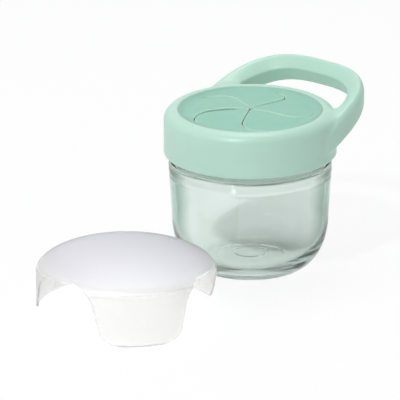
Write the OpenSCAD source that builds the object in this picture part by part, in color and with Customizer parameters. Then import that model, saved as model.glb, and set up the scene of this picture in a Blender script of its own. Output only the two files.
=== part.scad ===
// Toddler snack container: a clear screw-top cup, a screw collar with a carry loop, a soft
// catcher insert with five swirl flaps, and a loose travel cover that stands beside the cup.
// Millimetres, +Z up, origin at the middle of the cup's base. The carry loop points to +Y.

/* [Cup] */
// Outer radius of the wall where it is widest, under the shoulder
cup_r = 42.1; // [38:0.1:50]
// How much narrower the wall is at the top of its round lower corner
cup_draft = 1.8; // [0.5:0.1:3]
// Height of the shoulder, where the wall ends and the neck begins
shoulder_h = 57.4; // [48:0.1:80]
// How far the round lower corner reaches inwards
corner_w = 17.2; // [8:0.1:22]
// How far the round lower corner reaches upwards
corner_h = 26.8; // [12:0.1:32]
// Wall thickness
cup_wall = 2.3; // [1.6:0.1:3]
// Thickness of the floor
cup_floor = 5; // [3:0.1:7]
// Radius of the moulded ring on the inner floor
floor_ring_r = 10; // [6:0.5:14]
// Height of the threaded neck above the shoulder
neck_h = 19.4; // [17:0.1:22]
// How far the neck steps in from the wall
neck_step = 2.3; // [1.8:0.1:3]
// Wall thickness of the neck
neck_wall = 2; // [1.5:0.1:2.4]

/* [Thread] */
// Rise of the quick thread in one full turn
thread_lead = 12; // [11:0.5:15]
// Number of ribs on the neck, and of lugs in the collar
thread_starts = 3; // [2:1:3]
// Height of the ribs' lower ends above the shoulder
rib_rise = 7.2; // [6:0.1:9]
// How far a rib stands out of the neck
rib_out = 1.6; // [1:0.1:1.8]
// Height of a rib or lug where it leaves its wall
rib_h = 2.2; // [1.4:0.1:2.4]
// Arc that one rib covers, in degrees
rib_arc = 110; // [60:5:115]
// Arc that one lug covers, in degrees
lug_arc = 50; // [20:5:60]

/* [Collar] */
// Radial space between the neck and the collar's inner wall
collar_space = 2.6; // [2.3:0.1:3.2]
// Wall thickness of the collar
collar_wall = 2.2; // [1.8:0.1:3]
// Height of the collar
collar_h = 23.4; // [19:0.1:26]
// Radius of the collar's round shoulder
collar_round = 6; // [3:0.1:6.5]
// Thickness of the collar's top, over the insert's flange
collar_top = 5.6; // [4:0.1:8]
// Width of the insert's lip that shows inside the collar
lip_w = 0.8; // [0.8:0.1:1.6]
// Width of the ledge that holds the insert's flange down
ledge_w = 5.3; // [3:0.1:6]

/* [Insert] */
// Thickness of the insert's sealing flange
flange_t = 2.4; // [1.6:0.1:3.5]
// Depth of the soft sheet under the collar's rim
dish_drop = 1; // [0.6:0.1:2.5]
// Width of the sloping edge between the lip and the sheet
dish_slope = 2.4; // [2:0.1:5]
// Thickness of the soft sheet
sheet_t = 1.4; // [0.8:0.1:2]

/* [Flaps] */
// Width of each slit
slit_w = 0.6; // [0.4:0.1:1.2]
// Radius of the small hole where the slits meet
eye_r = 2.4; // [1.5:0.1:4]
// Length of a slit's straight run, from the axis
slit_run = 19.5; // [17:0.1:21]
// Angle that a slit's curved end turns through
slit_turn = 110; // [100:1:115]
// Where the next flap's bend line meets the curved end, as an angle along it
bend_turn = 40; // [35:1:45]
// Distance from the slits' ends to the edge of the sheet
slit_margin = 1; // [0.8:0.1:1.5]
// Direction of the first slit
slit_angle = 10; // [0:1:71]

/* [Carry loop] */
// How far the loop reaches past the collar's wall
loop_reach = 17.6; // [14:0.1:40]
// Thickness of the loop at its far end
loop_t = 8.4; // [6:0.1:9]
// Thickness of the loop at its roots
root_t = 12.2; // [9:0.1:14]
// How far the far end's crown stands above the collar's rim
crown_rise = 11.4; // [6:0.1:20]
// How far the far end's inner edge stands above the collar's rim
inner_rise = 5.4; // [2:0.1:14]
// How far the far end's underside stands above the collar's rim
under_rise = 1.6; // [-2:0.1:8]

/* [Travel cover] */
// Radial clearance of the cover over the collar
cover_clear = 0.3; // [0.2:0.1:1]
// Wall thickness of the cover
cover_wall = 1.1; // [0.9:0.1:2]
// Height of the cover where its wall ends and the dome begins
skirt_h = 25.2; // [21:0.1:30]
// Rise of the domed top above the wall
dome_rise = 13.2; // [8:0.1:18]
// How far the skirt ends above the tab's lower edge
skirt_lift = 5; // [1:0.1:8]
// Half of the angle that the front tab covers at its foot
tab_half = 26; // [22:1:30]
// Lean of the tab's sides
tab_lean = 12; // [4:1:16]
// Angle between the two feet of an arch for the carry loop
arch_span = 73; // [66:1:78]
// Height of the arches at the tab's side
arch_h = 30.2; // [24:0.1:31]
// How much lower the arches are at the skirt's side
arch_fall = 2; // [0:0.1:4]
// Lean of the skirt's sides
skirt_lean = 31; // [15:1:35]
// Radius of the arches' upper corners
arch_round = 12; // [6:0.5:13]
// Radius of the tab's lower corners
tab_round = 10; // [3:0.5:11]
// Radius of the skirt's lower corners
skirt_round = 5; // [2:0.5:6]
// Where the cover stands, sideways from the cup's axis
cover_x = 2.8; // [-10:0.1:10]
// Where the cover stands, in front of the cup's axis
cover_y = -101.8; // [-140:0.1:-98]
// How far the cover is turned from the way it fits on the collar
cover_turn = -129.4; // [-180:0.1:180]

/* [Hidden] */
$fn = 120;

mint = [0.74, 0.86, 0.80];
soft_mint = [0.63, 0.84, 0.77];
clear = [0.80, 0.88, 0.86, 0.35];
frost = [0.90, 0.90, 0.92, 0.85];

// Clearances between pieces that touch or slide past each other
turn_clear = 0.3;      // a piece that turns inside another one
seal_clear = 0.1;      // the flange under the collar's ledge
hinge_clear = 0.25;    // a flap's round root and the ring round it
lug_clear = 0.55;      // a lug's tip and the neck
sink = 0.3;            // how deep a rib is rooted in its wall
ARC_STEP = 7.5;        // degrees between the points of a moulded round
BAR_STEP = 10;         // degrees between the rings of a thread rib

// Cup
neck_r = cup_r - neck_step;
cup_h = shoulder_h + neck_h;
corner_top_r = cup_r - cup_draft;
base_r = corner_top_r - corner_w;
wall_top_z = shoulder_h - 4.4;
rib_z = shoulder_h + rib_rise;
rim_round = 0.6;
edge_round = 1.2;
ring_groove = 0.8;     // width of the moulded ring on the floor
ring_depth = 0.4;

// Collar
collar_in = neck_r + collar_space;
collar_r = collar_in + collar_wall;
ledge_z = cup_h + flange_t + seal_clear;
top_z = ledge_z + collar_top;
collar_z = top_z - collar_h;
bore_r = collar_in - ledge_w;
lip_r = bore_r - turn_clear;
hem = 0.8;             // chamfer on the collar's lower edge

// Insert
lip_z = top_z - 0.4;    // the lip ends just below the collar's edge
dish_r = lip_r - lip_w;
sheet_r = dish_r - dish_slope;
sheet_z = top_z - dish_drop - sheet_t;
flange_in = min(neck_r - neck_wall - 1.6, lip_r - 1.8);
flange_out = collar_in - 0.7;

// Flaps: a slit is a straight run, then an arc that turns left until it meets slit_end
slit_end = sheet_r - slit_margin;
turn_k = 2 - 2 * cos(slit_turn);
slit_arc = (sqrt(pow(slit_run * sin(slit_turn), 2) + turn_k * (pow(slit_end, 2) - pow(slit_run, 2)))
            - slit_run * sin(slit_turn)) / turn_k;
flap_count = 5;
flap_step = 360 / flap_count;
knuckle_r = sheet_t / 2 - 0.05;
hinge_z = sheet_z + sheet_t / 2;

// Carry loop: the plan is a superellipse that leaves the collar along +Y
loop_far = collar_r + loop_reach;
loop_half = collar_r - 0.5;
loop_mid = 7.7;        // where the straight sides end and the round end begins
loop_power = 2.84;     // squareness of the round end
crown_root = -10.1;    // heights at the roots, from the collar's rim
inner_root = -2.2;
under_root = 0.6 - collar_h;
crown_bow = 1.8;       // how far the crown bows up, and the inner edge sags, between the ends
inner_bow = -2.6;
loop_steps = 44;
loop_edge = 2.2;       // radius of the loop's edges

// Travel cover
cover_in = collar_r + cover_clear;
cover_r = cover_in + cover_wall;
bead_z = 6.3;          // snap bead that grips under the collar's lower edge
bead = 0.35;
arch_dip = 0.05;       // an arch's foot ends this far under the skirt's edge, so the cuts cross

// Points of an arc round c, from angle a0 to a1
function arc(c, r, a0, a1, step = ARC_STEP) =
    let (n = max(1, ceil(abs(a1 - a0) / step)))
    [for (i = [0:n]) c + r * [cos(a0 + (a1 - a0) * i / n), sin(a0 + (a1 - a0) * i / n)]];

// Points of a quarter ellipse from its foot (c.x, c.y - h) out to (c.x + w, c.y)
function round_corner(c, w, h) =
    let (n = 90 / ARC_STEP)
    [for (i = [0:n]) c + [w * sin(90 * i / n), -h * cos(90 * i / n)]];

function turned(p, a) = [p.x * cos(a) - p.y * sin(a), p.x * sin(a) + p.y * cos(a)];

// The sweep's faces: rings of m points each, closed by a cap at both ends
function sweep_faces(rings, m) = concat(
    [[for (j = [m - 1:-1:0]) j]],
    [for (i = [0:rings - 2], j = [0:m - 1], t = [0, 1])
        t == 0 ? [i * m + j, i * m + (j + 1) % m, (i + 1) * m + j]
               : [i * m + (j + 1) % m, (i + 1) * m + (j + 1) % m, (i + 1) * m + j]],
    [[for (j = [0:m - 1]) (rings - 1) * m + j]]);

// One thread rib or lug: a tapered bar that climbs thread_lead in a full turn. It grows from
// radius root to radius tip, and its middle starts at height z and angle a.
module thread_bar(root, tip, z, a, span) {
    rings = ceil(span / BAR_STEP) + 1;
    step = span / (rings - 1);
    half = rib_h / 2;
    slim = half - 0.5;
    inward = tip < root;
    section = inward ? [[root, half], [tip, slim], [tip, -slim], [root, -half]]
                     : [[root, -half], [tip, -slim], [tip, slim], [root, half]];
    points = [for (i = [0:rings - 1], p = section)
        let (t = a + i * step)
        [p.x * cos(t), p.x * sin(t), z + p.y + thread_lead * i * step / 360]];
    polyhedron(points = points, faces = sweep_faces(rings, 4), convexity = 4);
}

module cup() {
    outside = concat(
        [[0, 0]],
        round_corner([base_r, corner_h], corner_w, corner_h),
        [[cup_r, wall_top_z]],
        arc([cup_r - edge_round - 0.4, shoulder_h - edge_round], edge_round, 20, 90),
        [[neck_r, shoulder_h + 0.4]],
        arc([neck_r - rim_round, cup_h - rim_round], rim_round, 0, 90, 30));
    inner_low = corner_top_r - cup_wall;
    inside = concat(
        arc([neck_r - neck_wall + rim_round, cup_h - rim_round], rim_round, 90, 180, 30),
        [[neck_r - neck_wall, shoulder_h], [cup_r - cup_wall, wall_top_z - 1]],
        [for (i = [90 / ARC_STEP:-1:0]) let (t = ARC_STEP * i)
            [base_r - cup_wall / 2 + (inner_low - base_r + cup_wall / 2) * sin(t),
             corner_h - (corner_h - cup_floor) * cos(t)]],
        [[0, cup_floor]]);
    color(clear) {
        difference() {
            rotate_extrude() polygon(concat(outside, inside));
            translate([0, 0, cup_floor - ring_depth]) difference() {
                cylinder(r = floor_ring_r, h = ring_depth + 1);
                translate([0, 0, -1]) cylinder(r = floor_ring_r - ring_groove, h = ring_depth + 3);
            }
        }
        for (i = [0:thread_starts - 1])
            thread_bar(neck_r - sink, neck_r + rib_out, rib_z, 360 / thread_starts * i, rib_arc);
    }
}

// The collar's outside as a filled solid
module collar_body() {
    rotate_extrude() polygon(concat(
        [[0, collar_z], [collar_r - hem, collar_z], [collar_r, collar_z + hem]],
        arc([collar_r - collar_round, top_z - collar_round], collar_round, 0, 90),
        [[0, top_z]]));
}

module screw_collar() {
    // A lug starts just above the collar's lower edge, and lies midway between two turns of the ribs
    lug_z = collar_z + rib_h / 2 + 1;
    lug_start = 360 * ((lug_z - rib_z) / thread_lead + 0.5 / thread_starts);
    color(mint) {
        difference() {
            collar_body();
            translate([0, 0, collar_z - 1]) cylinder(r = collar_in, h = ledge_z - collar_z + 1);
            translate([0, 0, collar_z]) cylinder(r = bore_r, h = collar_h + 1);
        }
        for (i = [0:thread_starts - 1])
            thread_bar(collar_in + sink, neck_r + lug_clear, lug_z,
                       lug_start + 360 / thread_starts * i, lug_arc);
    }
}

// Height at a share s of the way from the loop's root to its far end
function bowed(root, far, bow, s) = root + (far - root) * s + bow * 4 * s * (1 - s);

// The loop's outer plan: x and y at angle a, from 0 at one root to 180 at the other
function loop_plan(a) =
    let (c = cos(a), s = sin(a), e = 2 / loop_power)
    [loop_half * sign(c) * pow(abs(c), e), loop_mid + (loop_far - loop_mid) * pow(abs(s), e)];

function unit(v) = v / norm(v);

// One ring of the sweep: outer wall, crown, sloping top, inner wall, underside
function loop_ring(p, dir) =
    let (out = [dir.y, -dir.x],
         s = max(0, min(1, p.y / loop_far)),
         w = root_t + (loop_t - root_t) * s,
         e = loop_edge,
         crown = top_z + bowed(crown_root, crown_rise, crown_bow, s),
         inner = top_z + bowed(inner_root, inner_rise, inner_bow, s),
         under = top_z + under_root + (under_rise - under_root) * s,
         lean = (under_rise - under_root) / loop_far * w * out.y,
         section = [[-e, under], [-e * 0.3, under + e * 0.3], [0, under + e],
                    [0, crown - e * 1.4], [-e * 0.25, crown - e * 0.5], [-e * 0.9, crown],
                    [-e * 1.8, crown * 0.85 + inner * 0.15 + 0.3],
                    [-w * 0.7, crown * 0.35 + inner * 0.65 + 0.6],
                    [-w + e * 0.3, inner + 0.1], [-w, inner - e * 0.4],
                    [-w, under - lean + e * 0.5], [-w + e * 0.5, under - lean]])
    [for (q = section) [p.x + out.x * q.x, p.y + out.y * q.x, q.y]];

module carry_loop() {
    plan = concat(
        [[loop_half, -4], [loop_half, loop_mid / 2]],
        [for (i = [0:loop_steps]) loop_plan(180 * i / loop_steps)],
        [[-loop_half, loop_mid / 2], [-loop_half, -4]]);
    last = len(plan) - 1;
    rings = [for (i = [0:last]) loop_ring(plan[i], unit(plan[min(i + 1, last)] - plan[max(i - 1, 0)]))];
    points = [for (r = rings, q = r) q];
    color(mint)
        difference() {
            polyhedron(points = points, faces = sweep_faces(last + 1, len(rings[0])), convexity = 6);
            collar_body();
        }
}

// A point on the side of slit 0, at the angle t along its arc: +1 is the left side, -1 the right
function slit_side(side, t) =
    [slit_run, slit_arc] + (slit_arc - side * slit_w / 2) * [sin(t), -cos(t)];

// The bend line of flap 0 runs from bend_a, at the end of slit 0, to bend_b, on slit 1
bend_a = slit_side(1, slit_turn);
bend_b = turned(slit_side(-1, bend_turn), flap_step);
bend_dir = unit(bend_b - bend_a);
bend_out = [bend_dir.y, -bend_dir.x];
bend_len = norm(bend_b - bend_a);

// Where the line at distance d outside the bend line crosses the right side of slit i
function bend_cross(i, d, near) =
    let (c = turned([slit_run, slit_arc], flap_step * i),
         r = slit_arc + slit_w / 2,
         off = (bend_a + d * bend_out - c) * bend_out,
         half = sqrt(r * r - off * off),
         p = c + off * bend_out,
         a = p + half * bend_dir,
         b = p - half * bend_dir)
    norm(a - near) < norm(b - near) ? a : b;

// Flap 0 in plan: the left side of slit 0, the bend line, and the right side of slit 1
module flap_plan() {
    difference() {
        polygon(concat(
            [[0, slit_w / 2]],
            [for (i = [0:12]) slit_side(1, slit_turn * i / 12)],
            [for (i = [8:-1:0]) turned(slit_side(-1, bend_turn * i / 8), flap_step)],
            [turned([0, -slit_w / 2], flap_step)]));
        circle(r = eye_r, $fn = 48);
    }
}

// The opening round flap 0: past its slits and its round root
module flap_gap_plan() {
    reach = knuckle_r + hinge_clear;
    corner_a = bend_cross(0, reach, bend_a);
    corner_b = bend_cross(1, reach, bend_b);
    c = [slit_run, slit_arc];
    end_turn = atan2(corner_a.x - c.x, c.y - corner_a.y);
    polygon(concat(
        [[0, -slit_w / 2]],
        [for (i = [0:12]) slit_side(-1, end_turn * i / 12)],
        [corner_b, [0, slit_w / 2]]));
}

module flap_ring() {
    slope = [for (i = [0:6]) let (t = 15 * i)
        [sheet_r + dish_slope * sin(t), lip_z - (dish_drop + lip_z - top_z) * cos(t)]];
    color(soft_mint) {
        rotate_extrude() polygon(concat(
            [[sheet_r, sheet_z]], slope,
            [[lip_r, lip_z], [lip_r, cup_h + flange_t], [flange_out, cup_h + flange_t],
             [flange_out, cup_h], [flange_in, cup_h], [flange_in, sheet_z - sheet_t]]));
        translate([0, 0, sheet_z]) linear_extrude(sheet_t) difference() {
            circle(r = sheet_r);
            for (i = [0:flap_count - 1])
                rotate(slit_angle + flap_step * i) flap_gap_plan();
        }
    }
}

// Flap n, counted from 1, with the round root that it bends about
module flap(n) {
    color(soft_mint)
        rotate(slit_angle + flap_step * (n - 1)) {
            translate([0, 0, sheet_z]) linear_extrude(sheet_t) flap_plan();
            translate([bend_a.x, bend_a.y, hinge_z])
                rotate(atan2(bend_dir.y, bend_dir.x)) rotate([0, 90, 0])
                    cylinder(r = knuckle_r, h = bend_len, $fn = 24);
        }
}

// The arc that rounds corner b, a [x, y, radius], on the way from corner a to corner c
function round_turn(a, b, c) =
    let (p = [b.x, b.y],
         u = unit([a.x, a.y] - p),
         v = unit([c.x, c.y] - p),
         half = acos(u * v) / 2,
         centre = p + unit(u + v) * b.z / sin(half),
         start = p + u * b.z / tan(half) - centre,
         turn = (180 - 2 * half) * (cross(u, v) < 0 ? 1 : -1),
         from = atan2(start.y, start.x))
    arc(centre, b.z, from, from + turn);

// One arch as seen from outside, with the tab on its left and the skirt on its right
module arch_plan() {
    foot = cover_r * sin(arch_span / 2);
    foot_z = skirt_lift - arch_dip;
    side_h = arch_h - arch_fall;
    corners = [
        [-cover_r, 0, 0],
        [-foot, 0, tab_round],
        [-foot + arch_h * tan(tab_lean), arch_h, arch_round],
        [foot - (side_h - foot_z) * tan(skirt_lean), side_h, arch_round],
        [foot, foot_z, skirt_round],
        [cover_r, foot_z, 0]];
    outline = [for (i = [1:4], p = round_turn(corners[i - 1], corners[i], corners[i + 1])) p];
    polygon(concat([[outline[0].x, -1]], outline, [[outline[len(outline) - 1].x, -1]]));
}

// Points of the dome's quarter ellipse, from the wall's top to the axis
function dome_arc(r, rise) =
    [for (i = [0:90 / ARC_STEP]) let (t = ARC_STEP * i) [r * cos(t), skirt_h + rise * sin(t)]];

module cover_shell() {
    inner_dome = dome_arc(cover_in, dome_rise - cover_wall);
    rotate_extrude() polygon(concat(
        [[cover_r, 0]],
        dome_arc(cover_r, dome_rise),
        [for (i = [len(inner_dome) - 1:-1:0]) inner_dome[i]],
        [[cover_in, bead_z + 2 * bead], [cover_in - bead, bead_z], [cover_in, bead_z - 2 * bead],
         [cover_in, 0]]));
}

module travel_cover() {
    far = cover_r + 5;
    color(frost)
        translate([cover_x, cover_y, 0]) rotate(cover_turn) difference() {
            cover_shell();
            translate([-far, -far, -1]) cube([2 * far, far + 8, skirt_lift + 1]);
            for (side = [0, 1])
                mirror([side, 0, 0]) rotate(-tab_half - arch_span / 2)
                    translate([0, far, 0]) rotate([90, 0, 0]) linear_extrude(cover_r) arch_plan();
        }
}

cup();
screw_collar();
carry_loop();
flap_ring();
flap(1);  // flap_1
flap(2);  // flap_2
flap(3);  // flap_3
flap(4);  // flap_4
flap(5);  // flap_5
travel_cover();
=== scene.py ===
# %% [markdown]
# # Toddler snack container
# A clear screw-top cup, a pale mint collar with a carry loop, a soft insert with five swirl flaps,
# and a loose frosted travel cover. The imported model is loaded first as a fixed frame. Everything
# made here is placed by that frame, in millimetres, and turned into metres when a mesh is made.

# %% Load the frame
import math

import bpy
import numpy as np
from mathutils import Matrix, Vector


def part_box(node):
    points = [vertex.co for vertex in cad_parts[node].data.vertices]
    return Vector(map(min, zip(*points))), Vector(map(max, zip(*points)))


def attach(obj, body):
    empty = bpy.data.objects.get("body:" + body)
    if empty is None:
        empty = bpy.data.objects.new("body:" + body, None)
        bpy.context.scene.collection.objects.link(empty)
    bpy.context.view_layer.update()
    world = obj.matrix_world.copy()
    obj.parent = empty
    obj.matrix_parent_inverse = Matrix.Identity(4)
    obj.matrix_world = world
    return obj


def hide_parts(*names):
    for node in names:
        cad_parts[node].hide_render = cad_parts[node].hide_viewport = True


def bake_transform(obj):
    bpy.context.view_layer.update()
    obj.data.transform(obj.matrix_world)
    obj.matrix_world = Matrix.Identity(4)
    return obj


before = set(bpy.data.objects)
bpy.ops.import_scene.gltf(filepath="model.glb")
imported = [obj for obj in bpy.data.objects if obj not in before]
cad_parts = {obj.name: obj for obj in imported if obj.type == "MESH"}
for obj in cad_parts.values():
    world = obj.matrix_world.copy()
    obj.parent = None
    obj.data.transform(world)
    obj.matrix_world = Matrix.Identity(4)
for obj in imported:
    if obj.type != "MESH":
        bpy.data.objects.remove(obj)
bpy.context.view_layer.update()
MM = 0.001


def span(node):
    """Lowest and highest corner of a CAD node, in millimetres."""
    low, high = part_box(node)
    return np.array(low) / MM, np.array(high) / MM


# %% [markdown]
# ## The camera
# The photograph was taken from far away with a long lens, so parallel edges stay nearly parallel.
# The camera stands 5 m off at the photograph's azimuth and elevation. Its place follows from the
# pixel where the cup's axis meets the table, and from how many pixels one millimetre covers there.

# %% Camera
FRAME_PIXELS = 400
AXIS_PIXEL = (250.0, 263.84)        # the middle of the cup's base in the photograph
PIXELS_PER_MM = 1.933
VIEW_AZIMUTH = math.radians(40.0)   # 0 looks along +Y
VIEW_ELEVATION = math.radians(19.3)
CAMERA_DISTANCE = 5000.0
SENSOR_WIDTH = 36.0


def direction(azimuth, elevation):
    """Unit vector from the object towards a viewer at that azimuth and elevation."""
    flat = math.cos(elevation)
    return Vector((math.sin(azimuth) * flat, -math.cos(azimuth) * flat, math.sin(elevation)))


def add_camera():
    """Moves back along the view, then sideways and up until the base lands on its pixel."""
    back = direction(VIEW_AZIMUTH, VIEW_ELEVATION)
    right = Vector((math.cos(VIEW_AZIMUTH), math.sin(VIEW_AZIMUTH), 0.0))
    up = back.cross(right)
    middle = FRAME_PIXELS / 2
    place = (back * CAMERA_DISTANCE
             - right * ((AXIS_PIXEL[0] - middle) / PIXELS_PER_MM)
             + up * ((AXIS_PIXEL[1] - middle) / PIXELS_PER_MM))
    data = bpy.data.cameras.new("camera")
    data.sensor_fit = "HORIZONTAL"
    data.sensor_width = SENSOR_WIDTH
    data.lens = PIXELS_PER_MM * CAMERA_DISTANCE / FRAME_PIXELS * SENSOR_WIDTH
    camera = bpy.data.objects.new("camera", data)
    turn = Matrix((right, up, back)).transposed().to_4x4()
    camera.matrix_world = Matrix.Translation(place * MM) @ turn
    bpy.context.scene.collection.objects.link(camera)
    bpy.context.scene.camera = camera
    return camera


camera = add_camera()
print("camera lens, mm:", round(camera.data.lens, 1))

# %% [markdown]
# ## Shader maths in plain Python
# A finish is a small tree of nodes. Writing it as expressions keeps the formula readable, so one
# class wraps a value in the tree and turns arithmetic into Math nodes, and another one holds the
# tree and makes every other node from its type, its settings and its inputs.

# %% Arithmetic on shader values


class Value:
    """One output in a material. Arithmetic on it adds Math nodes to the same material."""

    def __init__(self, finish, socket):
        self.finish = finish
        self.socket = socket

    def math(self, operation, first, second):
        return self.finish.node("ShaderNodeMath", {"operation": operation}, {0: first, 1: second})

    def __add__(self, other):
        return self.math("ADD", self, other)

    __radd__ = __add__

    def __mul__(self, other):
        return self.math("MULTIPLY", self, other)

    __rmul__ = __mul__

    def __sub__(self, other):
        return self.math("SUBTRACT", self, other)

    def __rsub__(self, other):
        return self.math("SUBTRACT", other, self)


print("a Value takes +, - and *, on either side of a number")

# %% A finish under construction


def set_stops(ramp, stops):
    """Gives a colour ramp exactly these (position, colour) stops."""
    while len(ramp.elements) < len(stops):
        ramp.elements.new(1.0)
    for element, (position, color) in zip(ramp.elements, stops):
        element.position = position
        element.color = color


class Finish:
    """A node tree under construction, for a material or for the world."""

    def __init__(self, owner):
        owner.use_nodes = True
        self.tree = owner.node_tree
        self.tree.nodes.clear()

    def node(self, kind, settings=None, inputs=None, output=0):
        """Adds a node: its settings first, then values or links for its inputs, by name or number."""
        made = self.tree.nodes.new(kind)
        for name, setting in (settings or {}).items():
            if name == "stops":
                set_stops(made.color_ramp, setting)
            else:
                setattr(made, name, setting)
        for key, value in (inputs or {}).items():
            if isinstance(value, Value):
                self.tree.links.new(value.socket, made.inputs[key])
            else:
                made.inputs[key].default_value = value
        return Value(self, made.outputs[output]) if len(made.outputs) else None

    def place(self):
        """Object coordinates, in metres."""
        return self.node("ShaderNodeTexCoord", output="Object")

    def noise(self, per_metre, detail=2.0, roughness=0.5):
        """Smooth noise between 0 and 1, with that many cells to the metre."""
        return self.node("ShaderNodeTexNoise", {"noise_dimensions": "3D"}, {
            "Vector": self.place(), "Scale": per_metre, "Detail": detail, "Roughness": roughness})

    def height(self):
        """Height above the table, in millimetres."""
        return self.node("ShaderNodeSeparateXYZ", {}, {0: self.place()}, output="Z") * (1 / MM)

    def facing(self):
        """0 where the surface is seen square on, 1 where it is seen along its skin."""
        return self.node("ShaderNodeLayerWeight", {}, {"Blend": 0.5}, output="Facing")

    def rise(self, value, low, high, start=0.0):
        """A share that grows from start to 1 while the value goes from low to high."""
        return self.node("ShaderNodeMapRange", {}, {
            "Value": value, "From Min": low, "From Max": high, "To Min": start}, output="Result")

    def mix(self, share, first, second):
        """Mixes two colours."""
        return self.node("ShaderNodeMix", {"data_type": "RGBA"},
                         {"Factor": share, "A": first, "B": second}, output="Result")

    def bump(self, height, depth_mm, strength=1.0):
        """Turns a height between 0 and 1 into a normal, for relief of that depth."""
        return self.node("ShaderNodeBump", {}, {
            "Height": height, "Distance": depth_mm * MM, "Strength": strength})

    def surface(self, shader, kind="ShaderNodeOutputMaterial"):
        """Ends the tree: what the surface, or the world, looks like."""
        self.output = self.tree.nodes.new(kind)
        self.tree.links.new(shader.socket, self.output.inputs["Surface"])

    def filled(self, volume):
        """What fills the inside of the piece, below its surface."""
        self.tree.links.new(volume.socket, self.output.inputs["Volume"])


print("a Finish makes every other node from its type, settings and inputs")

# %% Colours and new finishes


def linear(red, green, blue):
    """A colour as read off a screen, 0 to 255, turned into the linear values that nodes use."""
    share = np.array([red, green, blue]) / 255.0
    light = np.where(share <= 0.04045, share / 12.92, ((share + 0.055) / 1.055) ** 2.4)
    return (*light.tolist(), 1.0)


def new_finish(name):
    """An empty material, and the finish that fills it."""
    material = bpy.data.materials.new(name)
    return material, Finish(material)


print("middle grey on a screen is", round(linear(128, 128, 128)[0], 3), "of white in linear light")

# %% [markdown]
# ## Satin mint plastic
# The collar is polypropylene from a mould with a fine spark-eroded grain. It is never perfectly
# even: the colour drifts a little with wall thickness, and handling polishes some spots. Slow
# noise drives the colour and the gloss, and fast noise makes the grain as a bump.

# %% Satin mint plastic


def satin_plastic():
    """Mint between two close shades, gloss that wanders, and a fine grain."""
    material, finish = new_finish("satin_mint_plastic")
    drift = finish.noise(38, 3.0)
    rub = finish.noise(160, 4.0, 0.65)
    grain = finish.noise(2600, 2.0, 0.6)
    color = finish.mix(drift, linear(182, 217, 202), linear(192, 225, 211))
    shader = finish.node("ShaderNodeBsdfPrincipled", {}, {
        "Base Color": color,
        "Roughness": 0.28 + rub * 0.12,
        "IOR": 1.49,
        "Subsurface Weight": 0.12,
        "Subsurface Radius": (0.004, 0.006, 0.005),
        "Subsurface Scale": 1.0,
        "Normal": finish.bump(grain, 0.012, 0.5)})
    finish.surface(shader)
    return material


mint_plastic = satin_plastic()
print("finish:", mint_plastic.name)

# %% [markdown]
# ## Soft mint silicone
# Silicone is duller and deeper in colour than the collar. It scatters light under its skin, so its
# edges glow, and it picks up a little dust. Subsurface scattering gives the glow, sheen the dusty
# bloom, and three noises the slight unevenness of a hand-cleaned soft part. The cut edges of the
# flaps get a painted highlight that makes them paler than the skin, so an attribute on their meshes
# says how near a cut each point is.

# %% Soft mint silicone


def soft_silicone():
    """A deeper mint with a painted highlight, paler by up to 0.6, at a cut, and a dusty, soft skin."""
    material, finish = new_finish("soft_mint_silicone")
    drift = finish.noise(60, 3.0)
    skin = finish.noise(1500, 3.0, 0.6)
    dust = finish.noise(420, 5.0, 0.7)
    # The attribute carries a painted highlight: the colour turns paler near a cut edge.
    cut_highlight = finish.node("ShaderNodeAttribute", {"attribute_name": "cut_edge"}, output="Fac")
    body = finish.mix(drift, linear(138, 191, 173), linear(150, 200, 183))
    color = finish.mix(cut_highlight * 0.6, body, linear(206, 232, 218))
    shader = finish.node("ShaderNodeBsdfPrincipled", {}, {
        "Base Color": color,
        "Roughness": 0.3 + dust * 0.18,
        "IOR": 1.45,
        "Subsurface Weight": 0.25,
        "Subsurface Radius": (0.003, 0.006, 0.005),
        "Subsurface Scale": 1.0,
        "Sheen Weight": 0.06,
        "Sheen Roughness": 0.5,
        "Normal": finish.bump(skin, 0.02, 0.5)})
    finish.surface(shader)
    return material


silicone = soft_silicone()
print("finish:", silicone.name)

# %% [markdown]
# ## Clear plastic
# The cup is thick, clear plastic with a faint green cast that gathers where light crosses much of
# it, in the base and, partly, at the edges. The walls are a real closed shell, so plain refraction
# does most of the work. Absorption greens the base. Layer Weight paints shade along the edges of the
# wall, tinted with that green, and the height paints the collar's shadow as a grey band on the
# neck. Hairline scratches and a trace of haze keep it from looking like perfect glass.

# %% Clear plastic


def clear_plastic():
    """Clear, with painted green shade where the wall turns away from the eye, and a painted grey shadow on
    the neck.
    """
    material, finish = new_finish("clear_cup_plastic")
    haze = finish.noise(55, 3.0)
    facing, height = finish.facing(), finish.height()
    # Painted shade, partly the green of thick plastic, where the wall turns away from the eye; weaker low
    # down.
    edge = finish.rise(facing, 0.4, 0.7) * (1 - finish.rise(facing, 0.83, 0.91))
    wall = finish.rise(height, 8, 27, start=0.3)
    # Painted shadow: a grey band on the neck under the collar's overhang.
    neck_shadow = finish.rise(height, 56.5, 58)
    hairline = finish.node("ShaderNodeTexNoise", {"noise_dimensions": "3D"}, {
        "Vector": finish.node("ShaderNodeMapping", {"vector_type": "POINT"}, {
            "Vector": finish.place(), "Scale": (1.0, 1.0, 14.0)}),
        "Scale": 260.0, "Detail": 3.0})
    body = finish.mix(haze, linear(244, 249, 247), linear(248, 252, 250))
    edge_shaded = finish.mix(edge * wall, body, linear(122, 162, 147))
    color = finish.mix(neck_shadow * 0.85, edge_shaded, linear(148, 170, 161))
    shader = finish.node("ShaderNodeBsdfPrincipled", {}, {
        "Base Color": color,
        "Roughness": 0.015 + haze * 0.03,
        "IOR": 1.5,
        "Transmission Weight": 1.0,
        "Normal": finish.bump(hairline, 0.004, 0.25)})
    finish.surface(shader)
    finish.filled(finish.node("ShaderNodeVolumeAbsorption", {}, {
        "Color": (0.2, 0.5, 0.4, 1.0), "Density": 4.0}))
    return material


clear = clear_plastic()
print("finish:", clear.name)

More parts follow.
